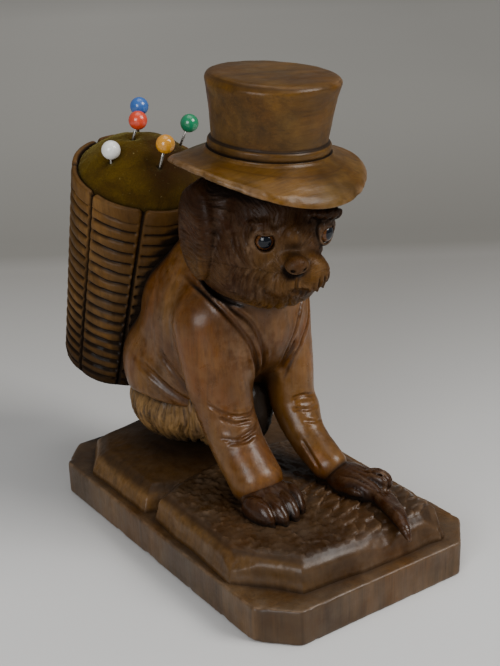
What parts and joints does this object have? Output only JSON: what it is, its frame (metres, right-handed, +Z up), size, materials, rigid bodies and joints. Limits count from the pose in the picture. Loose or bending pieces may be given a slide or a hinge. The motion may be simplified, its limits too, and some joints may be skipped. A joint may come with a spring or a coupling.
{
  "type": "pincushion",
  "caption": "Carved wooden dog in a top hat and coat, sitting on a rock and plinth, with a ribbed basket on its back that holds a domed velvet pincushion and ball-headed pins.",
  "frame": {"origin": "middle of the plinth's underside", "axes": "+Z up, -Y the way the dog sits facing, +X the dog's left side"},
  "size_m": [0.0534, 0.1065, 0.102],
  "materials": {
    "carved_wood": "stained and polished",
    "amber_glass": "gloss",
    "steel": "bright",
    "velvet": "short pile",
    "ball_red": "gloss",
    "ball_yellow": "gloss",
    "ball_white": "gloss",
    "ball_green": "gloss",
    "ball_blue": "gloss"
  },
  "bodies": {
    "root": {"carving": "carved_wood", "eye_right": "amber_glass", "eye_left": "amber_glass", "eye_wire_right": "steel", "eye_wire_left": "steel", "velvet_cushion": "velvet", "pin_head_red": "ball_red", "pin_head_yellow": "ball_yellow", "pin_head_white": "ball_white", "pin_head_green": "ball_green", "pin_head_blue": "ball_blue", "pin_shaft_red": "steel", "pin_shaft_yellow": "steel", "pin_shaft_white": "steel", "pin_shaft_green": "steel", "pin_shaft_blue": "steel"}
  },
  "joints": []
}
